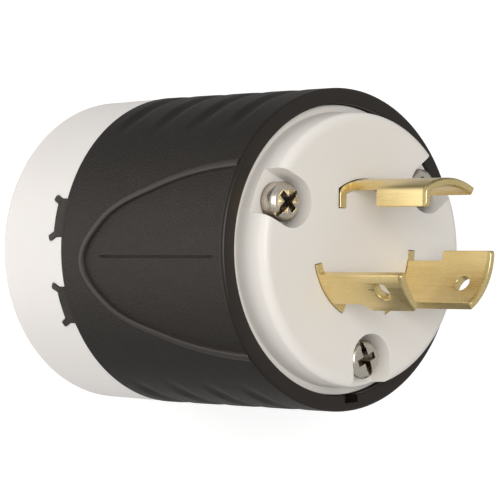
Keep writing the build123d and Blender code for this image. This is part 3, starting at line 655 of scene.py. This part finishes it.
def latch_shapes(angle, grow, depth_low, depth_high, top):
    """A latch tab with its two swept-back ears, as shapes on the collar's wall."""
    low = SEAM_Z - LATCH_LENGTH
    half = LATCH_HALF_WIDTH + grow
    place = around(angle, grip_r(SEAM_Z))
    corners = [(-half, low - grow), (half, low - grow), (half, top), (-half, top)]
    tab = rounded(corners, [LATCH_CORNER, LATCH_CORNER, 0, 0], 3)
    shapes = [prism(split(tab, 0.8), depth_low, depth_high, place)]
    for hand in (-1, 1):
        foot = np.array([hand * (LATCH_HALF_WIDTH - EAR_HALF_WIDTH), low + EAR_HALF_WIDTH])
        end = foot + np.array([hand * EAR_RUN[0], EAR_RUN[1]])
        run = (end - foot) / np.linalg.norm(end - foot)
        across = np.array([-run[1], run[0]]) * (EAR_HALF_WIDTH + grow)
        reach = run * (EAR_END + grow)
        ear = [foot - across, end - across + reach, end + across + reach, foot + across]
        ear = rounded([tuple(p) for p in ear], [0.0, EAR_ROUND, EAR_ROUND, 0.0], 4)
        shapes.append(prism(ear, depth_low, depth_high, place))
    return shapes


def split(outline, longest):
    """The same outline with extra points, so that it bends smoothly."""
    points = []
    for a, b in zip(outline, outline[1:] + outline[:1]):
        parts = max(1, ceil(hypot(b[0] - a[0], b[1] - a[1]) / longest))
        points += [(a[0] + (b[0] - a[0]) * i / parts, a[1] + (b[1] - a[1]) * i / parts) for i in range(parts)]
    return points


def mark_polish_and_highlight(mesh):
    """Marks what stands proud of the grip, which hands rub smooth and which gets a painted highlight."""
    spots = np.empty(3 * len(mesh.vertices))
    mesh.vertices.foreach_get("co", spots)
    x, y, z = spots.reshape(-1, 3).T / MM
    proud = np.hypot(x, y) - grip_r(z)
    polish = mesh.attributes.new("polish", "FLOAT", "POINT")
    polish.data.foreach_set("value", np.clip(proud / 0.08, 0, 1))


def grip_shell():
    shapes = [shell_surface()]
    for side in (PANEL_ANGLE, PANEL_ANGLE + 180):
        shapes.append(bead_strip(side))
        for hand in (-1, 1):
            shapes += latch_shapes(side + hand * LATCH_SPREAD, 0.0, -LATCH_DEPTH, LATCH_PROUD, SEAM_Z + 0.6)
    web = [(0, -BOSS_HALF_WIDTH), (BOSS_REACH, -BOSS_HALF_WIDTH), (BOSS_REACH, BOSS_HALF_WIDTH),
           (0, BOSS_HALF_WIDTH)]
    for angle in SCREW_ANGLES:
        c, s = cos(radians(angle)), sin(radians(angle))
        boss = circle(BOSS_R, 32, SCREW_CIRCLE_R * c, SCREW_CIRCLE_R * s)
        shapes.append(prism(boss, BOSS_LOW_Z, BOSS_HIGH_Z))
        shapes.append(ring_slots(web, [(angle, SCREW_CIRCLE_R)], BOSS_LOW_Z, BOSS_HIGH_Z))
    piece = solid("grip_shell_dressed", *together(*shapes), sharp=38.0)
    mark_polish_and_highlight(piece.data)
    dress(piece, "black_nylon", "grip_shell")


# Rear collar
def rear_collar():
    corners = [(CORD_ENTRY_R, 0), (COLLAR_REAR_R, 0), (COLLAR_FRONT_R, SEAM_Z), (SPIGOT_R, SEAM_Z),
               (SPIGOT_R, SPIGOT_TOP_Z), (SPIGOT_INNER_R, SPIGOT_TOP_Z), (SPIGOT_INNER_R, SPIGOT_LOW_Z),
               (CUP_R, CUP_TOP_Z), (CUP_R, CUP_FLOOR_Z), (CORD_ENTRY_R, CUP_FLOOR_Z)]
    profile = rounded(corners, [1.0, COLLAR_ROUND, 0.3, 0, 0.3, 0.3, 0.6, 0.6, 1.0, 0.4], 8)
    piece = solid("rear_collar_dressed", *lathe(profile, 240), sharp=38.0)
    shapes = []
    for side in (PANEL_ANGLE, PANEL_ANGLE + 180):
        for hand in (-1, 1):
            angle = side + hand * LATCH_SPREAD
            shapes += latch_shapes(angle, LATCH_GAP, -LATCH_DEPTH - 0.15, 1.0, SEAM_Z + 1.0)
    for y in (-CLAMP_SCREW_Y, CLAMP_SCREW_Y):
        hole = circle(TOOL_HOLE_R, 48, y, CLAMP_SCREW_Z)
        shapes.append(prism(hole, 14.0, 32.0, lambda a, b, h: (h, a, b)))
    carve(piece, together(*shapes), soften=0.12)
    dress(piece, "white_nylon", "rear_collar")


# Face plate
def face_plate():
    corners = [(0, LEDGE_Z), (FLANGE_R, LEDGE_Z), (FLANGE_R, FLANGE_Z), (FACE_BASE_R, FLANGE_Z),
               (FACE_EDGE_R, FACE_Z), (0, FACE_Z)]
    profile = rounded(corners, [0, 0.2, 0.25, 0.2, FACE_CORNER, 0], 14)
    piece = solid("face_plate_dressed", *lathe(profile, 256), sharp=38.0)
    half = POCKET_HALF_WIDTH
    pocket = [(half * cos(t), half * sin(t)) for t in np.linspace(pi / 2, 3 * pi / 2, 32)]
    pocket = pocket + [(POCKET_REACH, -half), (POCKET_REACH, half)]
    places = [(angle, SCREW_CIRCLE_R) for angle in SCREW_ANGLES]
    pockets = ring_slots(pocket, places, POCKET_FLOOR_Z, FACE_Z + 2, POCKET_FLARE)
    holes = ring_slots(circle(SCREW_HOLE_R, 32), places, LEDGE_Z - 1, FACE_Z)
    slots = []
    for blade in BLADES.values():
        first, last = blade["slot"][0] - SLOT_END, blade["slot"][1] + SLOT_END
        band = arc_band(BLADE_R - SHEET - BLADE_GAP, BLADE_R + BLADE_GAP, first, last, 28)
        slots.append(prism(band, LEDGE_Z - 1, FACE_Z + 1))
        if "leg" in blade:
            slots.append(prism(leg_outline(blade, BLADE_GAP), LEDGE_Z - 1, FACE_Z + 1))
    carve(piece, pockets, soften=POCKET_SOFT, segments=5)
    carve(piece, together(holes, *slots), soften=HOLE_SOFT, segments=3)
    dress(piece, "white_nylon", "face_plate")


def leg_outline(blade, grow):
    """The folded leg of a blade, seen along the plug."""
    middle = radians(sum(blade["slot"]) / 2)
    side = BLADE_R * sin(radians((blade["slot"][1] - blade["slot"][0]) / 2))
    corner = sqrt(BLADE_R**2 - side**2)
    end, low, high = blade["leg"] - grow, side - SHEET - grow, side + grow
    box = [(end, low), (corner, low), (corner, high), (end, high)]
    return [(x * cos(middle) - y * sin(middle), x * sin(middle) + y * cos(middle)) for x, y in box]


# Blades
def sheet_metal(name, outline, holes):
    """A flat sheet with soft edges: outline and holes in millimetres, its thickness along z."""
    curve = bpy.data.curves.new(name, "CURVE")
    curve.dimensions = "2D"
    curve.fill_mode = "BOTH"
    for points in [outline] + holes:
        line = curve.splines.new("POLY")
        line.points.add(len(points) - 1)
        for spot, (x, y) in zip(line.points, points):
            spot.co = (x * MM, y * MM, 0, 1)
        line.use_cyclic_u = True
    curve.extrude = (SHEET / 2 - SHEET_SOFT) * MM
    curve.bevel_depth = SHEET_SOFT * MM
    curve.bevel_resolution = 2
    curve.offset = -SHEET_SOFT * MM
    holder = bpy.data.objects.new(name, curve)
    bpy.context.scene.collection.objects.link(holder)
    graph = bpy.context.evaluated_depsgraph_get()
    mesh = bpy.data.meshes.new_from_object(holder.evaluated_get(graph))
    bpy.data.objects.remove(holder)
    return mesh


def blade_piece(name):
    """A blade cut flat from its sheet, with a flat terminal below, and then bent to the blades' circle."""
    blade = BLADES[name]
    middle = sum(blade["slot"]) / 2
    mid_r = BLADE_R - SHEET / 2

    def along(angle):
        return mid_r * radians(angle - middle)

    half = along(blade["slot"][1])
    shoulder = FACE_Z + blade["shoulder"]
    notch = FACE_Z + blade["notch"]
    tip = FACE_Z + blade["tip"]
    leg = 0.0
    if "leg" in blade:
        side = BLADE_R * sin(radians((blade["slot"][1] - blade["slot"][0]) / 2))
        arc_stop = asin((side - SHEET / 2 - LEG_BEND_R) / (mid_r - LEG_BEND_R))
        turn = pi / 2 - arc_stop
        bend_x = (mid_r - LEG_BEND_R) * cos(arc_stop)
        half = mid_r * arc_stop
        leg = LEG_BEND_R * turn + bend_x - blade["leg"]
    far = half + leg
    head = far if leg else along(blade["head"][1])
    neck_start, neck_stop = along(blade["neck"][0]), along(blade["neck"][1])
    head_start = along(blade["head"][0])
    wide = half + ROOT_STEP
    flat = TERMINAL_HALF_WIDTH
    corners = [(-wide, ROOT_LOW_Z), (-flat, ROOT_LOW_Z), (-flat, TERMINAL_LOW_Z), (flat, TERMINAL_LOW_Z),
               (flat, ROOT_LOW_Z), (wide, ROOT_LOW_Z), (wide, ROOT_TOP_Z), (half, ROOT_TOP_Z)]
    if leg:
        corners += [(half, LEDGE_Z), (far, LEDGE_Z)]
    corners += [(far, shoulder), (neck_stop, shoulder), (neck_stop, notch - blade["ramp"] / 2),
                (head, notch + blade["ramp"] / 2), (head, tip - blade["rake"]), (head_start, tip),
                (neck_start, shoulder), (-half, shoulder), (-half, ROOT_TOP_Z), (-wide, ROOT_TOP_Z)]
    radii = []
    for x, z in corners:
        if z > tip - 2.5:
            radii.append(0.7)
        elif z > notch - 2:
            radii.append(0.55)
        elif abs(z - shoulder) < 0.01:
            radii.append(0.12)
        else:
            radii.append(0.3 if abs(z - ROOT_LOW_Z) < 9 else 0.18)
    outline = rounded(corners, radii, 4)
    holes = [circle(TERMINAL_HOLE_R, 32, 0, TERMINAL_LOW_Z + TERMINAL_HOLE_RISE)]
    if "eye" in blade:
        holes.append(circle(EYE_R, 40, along(blade["eye"][0]), FACE_Z + blade["eye"][1]))
    mesh = sheet_metal(name, outline, holes)
    work = bmesh.new()
    work.from_mesh(mesh)
    bmesh.ops.remove_doubles(work, verts=work.verts, dist=2e-7)
    cuts = [(x, "x") for x in np.arange(-half - 1, far + 1, 0.5)]
    cuts += [(z, "z") for z in (50.6, 51.0, 51.4, 51.8, 52.2, shoulder, tip - 0.9, tip - TIP_BEVEL)]
    if leg:
        cuts += [(half + LEG_BEND_R * turn * i / 8, "x") for i in range(9)]
    for value, way in cuts:
        bmesh.ops.bisect_plane(work, geom=work.verts[:] + work.edges[:] + work.faces[:], dist=1e-8,
                               plane_co=(value * MM, value * MM, 0),
                               plane_no=(1, 0, 0) if way == "x" else (0, 1, 0))
    rake = blade["rake"] / (head - head_start)
    c, s = cos(radians(middle)), sin(radians(middle))
    for vert in work.verts:
        u, z, h = (value / MM for value in vert.co)
        end = tip - max(0.0, u - head_start) * rake
        h *= 1 - TIP_THINNING * np.clip((z - (end - TIP_BEVEL)) / TIP_BEVEL, 0, 1)
        share = np.clip((z - ROOT_LOW_Z) / ROOT_BEND, 0, 1)
        bent = share * share * (3 - 2 * share) / mid_r
        if leg and u > half and z > ROOT_TOP_Z:
            if u < half + LEG_BEND_R * turn:
                angle = arc_stop + (u - half) / LEG_BEND_R
                x = bend_x + (LEG_BEND_R + h) * cos(angle)
                y = side - SHEET / 2 - LEG_BEND_R + (LEG_BEND_R + h) * sin(angle)
            else:
                x = bend_x - (u - half - LEG_BEND_R * turn)
                y = side - SHEET / 2 + h
        elif bent > 1e-5:
            x = mid_r - (1 - cos(bent * u)) / bent + h * cos(bent * u)
            y = sin(bent * u) / bent + h * sin(bent * u)
        else:
            x, y = mid_r + h, u
        vert.co = Vector((x * c - y * s, x * s + y * c, z)) * MM
    work.to_mesh(mesh)
    work.free()
    piece = finish_mesh(f"{name}_dressed", mesh, sharp=40.0)
    weights = piece.modifiers.new("weights", "WEIGHTED_NORMAL")
    weights.keep_sharp = True
    baked(piece)
    dress(piece, "brass", name)


# Screws
def screw_pattern(length, head):
    """One screw with a low domed head, a deep cross recess and a slot across it, its seat at height 0."""
    head_r, crown = head
    corners = [(0, crown), (head_r * 0.8, crown - 0.2), (head_r, crown - 0.95), (head_r, 0.05),
               (head_r - 0.2, 0)]
    profile = rounded(corners, [0, 0.9, 0.45, 0, 0], 7)
    profile += [(SCREW_R, 0), (SCREW_R, -length + 0.6), (SCREW_R - 0.5, -length), (0, -length)]
    screw = solid("screw_pattern", *lathe(profile, 72), sharp=40.0)
    top, deep = crown + 1, crown - CROSS_DEPTH
    wing = [(-CROSS_HALF_LENGTH, top), (CROSS_HALF_LENGTH, top), (2.0, crown - 0.7), (0.8, deep),
            (-0.8, deep), (-2.0, crown - 0.7)]
    cross = []
    for turn in (0, pi / 2):
        def place(x, z, h, c=cos(turn), s=sin(turn)):
            return (x * c - h * s, x * s + h * c, z)
        cross.append(prism(wing, -CROSS_HALF_WIDTH, CROSS_HALF_WIDTH, place))
    end, low = head_r + 1, crown - SLOT_DEPTH
    slot = [(-end, top), (end, top), (end, low), (-end, low)]
    cross.append(prism(slot, -SLOT_HALF_WIDTH, SLOT_HALF_WIDTH, lambda x, z, h: (x, h, z)))
    carve(screw, together(*cross), soften=0.07)
    return screw


def screw_setter(material):
    """Geometry nodes that set a screw at each seat and turn it as the seat says."""
    tree = bpy.data.node_groups.new("set_screws", "GeometryNodeTree")
    tree.interface.new_socket("Seats", in_out="INPUT", socket_type="NodeSocketGeometry")
    screw = tree.interface.new_socket("Screw", in_out="INPUT", socket_type="NodeSocketObject")
    size = tree.interface.new_socket("Size", in_out="INPUT", socket_type="NodeSocketFloat")
    size.default_value = 1.0
    finish = tree.interface.new_socket("Finish", in_out="INPUT", socket_type="NodeSocketMaterial")
    tree.interface.new_socket("Screws", in_out="OUTPUT", socket_type="NodeSocketGeometry")
    nodes, links = tree.nodes, tree.links
    start = nodes.new("NodeGroupInput")
    points = nodes.new("GeometryNodeMeshToPoints")
    pattern = nodes.new("GeometryNodeObjectInfo")
    aim = nodes.new("GeometryNodeInputNamedAttribute")
    aim.data_type = "FLOAT_VECTOR"
    aim.inputs["Name"].default_value = "aim"
    turn = nodes.new("FunctionNodeEulerToRotation")
    place = nodes.new("GeometryNodeInstanceOnPoints")
    real = nodes.new("GeometryNodeRealizeInstances")
    paint = nodes.new("GeometryNodeSetMaterial")
    stop = nodes.new("NodeGroupOutput")
    links.new(start.outputs["Seats"], points.inputs["Mesh"])
    links.new(start.outputs["Screw"], pattern.inputs["Object"])
    links.new(points.outputs["Points"], place.inputs["Points"])
    links.new(pattern.outputs["Geometry"], place.inputs["Instance"])
    links.new(aim.outputs["Attribute"], turn.inputs["Euler"])
    links.new(turn.outputs["Rotation"], place.inputs["Rotation"])
    links.new(start.outputs["Size"], place.inputs["Scale"])
    links.new(place.outputs["Instances"], real.inputs["Geometry"])
    links.new(real.outputs["Geometry"], paint.inputs["Geometry"])
    links.new(start.outputs["Finish"], paint.inputs["Material"])
    links.new(paint.outputs["Geometry"], stop.inputs["Screws"])
    return tree, {"screw": screw.identifier, "size": size.identifier, "finish": finish.identifier}


def set_screws(name, seats, screw, slot, nodes):
    """seats is a list of (point in millimetres, (x, y, z) turn in degrees)."""
    tree, sockets = screw_setter(finishes[slot])
    mesh = bpy.data.meshes.new(name)
    mesh.from_pydata([tuple(v * MM for v in point) for point, turn in seats], [], [])
    aim = mesh.attributes.new("aim", "FLOAT_VECTOR", "POINT")
    for spot, (point, turn) in zip(aim.data, seats):
        spot.vector = [radians(v) for v in turn]
    piece = bpy.data.objects.new(name, mesh)
    bpy.context.scene.collection.objects.link(piece)
    rows = piece.modifiers.new("screws", "NODES")
    rows.node_group = tree
    rows[sockets["screw"]] = screw
    rows[sockets["size"]] = 1.0
    rows[sockets["finish"]] = finishes[slot]
    baked(piece)
    dress(piece, slot, *nodes)
    bpy.data.objects.remove(screw)


def screws():
    seats = []
    for angle, turn in zip(SCREW_ANGLES, ASSEMBLY_TURNS):
        x, y = SCREW_CIRCLE_R * cos(radians(angle)), SCREW_CIRCLE_R * sin(radians(angle))
        seats.append(((x, y, POCKET_FLOOR_Z), (0, 0, turn)))
    set_screws("assembly_screws_dressed", seats, screw_pattern(ASSEMBLY_LENGTH, ASSEMBLY_HEAD),
               "plated_steel", ["assembly_screw_1", "assembly_screw_2", "assembly_screw_3"])
    seats = []
    for y, turn in zip((-CLAMP_SCREW_Y, CLAMP_SCREW_Y), CLAMP_TURNS):
        aim = (Matrix.Rotation(pi / 2, 3, "Y") @ Matrix.Rotation(radians(turn), 3, "Z")).to_euler()
        seats.append(((CLAMP_SEAT_X, y, CLAMP_SCREW_Z), [degrees(v) for v in aim]))
    set_screws("cord_clamp_screws_dressed", seats, screw_pattern(CLAMP_LENGTH, CLAMP_HEAD), "plated_steel",
               ["cord_clamp_screws"])


grip_shell()
rear_collar()
face_plate()
for blade_name in BLADES:
    blade_piece(blade_name)
screws()

for node_name in ("cord_clamp_jaw_front", "cord_clamp_jaw_back", "cord_clamp_nuts", "terminal_block"):
    edge = frame["nodes"][node_name].modifiers.new("edge", "BEVEL")
    edge.limit_method = "ANGLE"
    edge.angle_limit = radians(40)
    edge.width = 0.25 * MM
    edge.segments = 2


# Stage
SKY = 0.5
GLOW_WAY = (-0.678, 0.04, -0.735)
GLOW_LOW = 0.12
GLOW_HIGH = 1.6
SHEEN_WAY = (0.56, -0.08, -0.82)
SHEEN = 0.45


def stage_floor():
    mesh = bpy.data.meshes.new("floor")
    mesh.from_pydata([(-4, -4, 0), (4, -4, 0), (4, 4, 0), (-4, 4, 0)], [], [[0, 1, 2, 3]])
    floor = bpy.data.objects.new("floor", mesh)
    bpy.context.scene.collection.objects.link(floor)
    finish = Finish("floor_paper", Roughness=0.9)
    finish.set("Base Color", finish.blend(finish.noise(40.0), (0.93, 0.93, 0.93, 1), (0.95, 0.95, 0.95, 1)))
    finish.shader.inputs["Emission Color"].default_value = (1, 1, 1, 1)
    finish.shader.inputs["Emission Strength"].default_value = 0.42
    mesh.materials.append(finish.material)
    floor.visible_glossy = False


def softbox(name, place, aim, width, height, power, color=(1, 1, 1)):
    light = bpy.data.lights.new(name, "AREA")
    light.shape = "RECTANGLE"
    light.size = width
    light.size_y = height
    light.energy = power
    light.color = color
    lamp = bpy.data.objects.new(name, light)
    lamp.location = place
    lamp.rotation_euler = (Vector(aim) - Vector(place)).to_track_quat("-Z", "Y").to_euler()
    bpy.context.scene.collection.objects.link(lamp)


def studio():
    """An even white room, and below the horizon the glow that the glossy sides pick up."""
    world = bpy.data.worlds.new("studio")
    bpy.context.scene.world = world
    world.use_nodes = True
    tree = world.node_tree
    sky = tree.nodes["Background"]

    def node(kind, inputs, **settings):
        made = tree.nodes.new(kind)
        for key, value in settings.items():
            setattr(made, key, value)
        for key, value in inputs.items():
            if isinstance(value, bpy.types.NodeSocket):
                tree.links.new(value, made.inputs[key])
            else:
                made.inputs[key].default_value = value
        return made

    way = tree.nodes.new("ShaderNodeTexCoord").outputs["Generated"]
    height = node("ShaderNodeSeparateXYZ", {"Vector": way}).outputs["Z"]
    facing = node("ShaderNodeVectorMath", {0: way, 1: GLOW_WAY}, operation="DOT_PRODUCT").outputs["Value"]
    glow = node("ShaderNodeMapRange", {"Value": facing, "From Min": 0.68, "From Max": 1.0,
                                       "To Min": GLOW_LOW, "To Max": GLOW_HIGH},
                interpolation_type="SMOOTHSTEP").outputs["Result"]
    grazing = node("ShaderNodeVectorMath", {0: way, 1: SHEEN_WAY}, operation="DOT_PRODUCT").outputs["Value"]
    sheen = node("ShaderNodeMapRange", {"Value": grazing, "From Min": 0.62, "From Max": 1.0, "To Max": SHEEN},
                 interpolation_type="SMOOTHSTEP").outputs["Result"]
    below = node("ShaderNodeMath", {0: glow, 1: sheen}, operation="ADD").outputs[0]
    above = node("ShaderNodeMapRange", {"Value": height, "From Min": -0.12,
                                        "From Max": 0.0}).outputs["Result"]
    light = node("ShaderNodeMix", {0: above, 2: below, 3: SKY}, data_type="FLOAT").outputs[0]
    tree.links.new(light, sky.inputs["Strength"])
    sky.inputs["Color"].default_value = (1, 1, 1, 1)
    softbox("key", (-0.58, 0.1, 0.81), (0, 0, 0.04), 0.45, 0.45, 4.2, (1.0, 0.985, 0.965))


def camera():
    lens = bpy.data.cameras.new("camera")
    lens.lens = 252.8
    lens.sensor_width = 36.0
    lens.clip_start = 0.01
    eye = bpy.data.objects.new("camera", lens)
    eye.matrix_world = Matrix(((0.7349, 0.0, -0.6782, -0.42298), (0.0, 1.0, 0.0, -0.00004),
                               (0.6782, 0.0, 0.7349, 0.49535), (0, 0, 0, 1)))
    bpy.context.scene.collection.objects.link(eye)
    bpy.context.scene.camera = eye


stage_floor()
studio()
camera()
bpy.context.scene.view_settings.view_transform = "Standard"
bpy.context.scene.view_settings.look = "None"
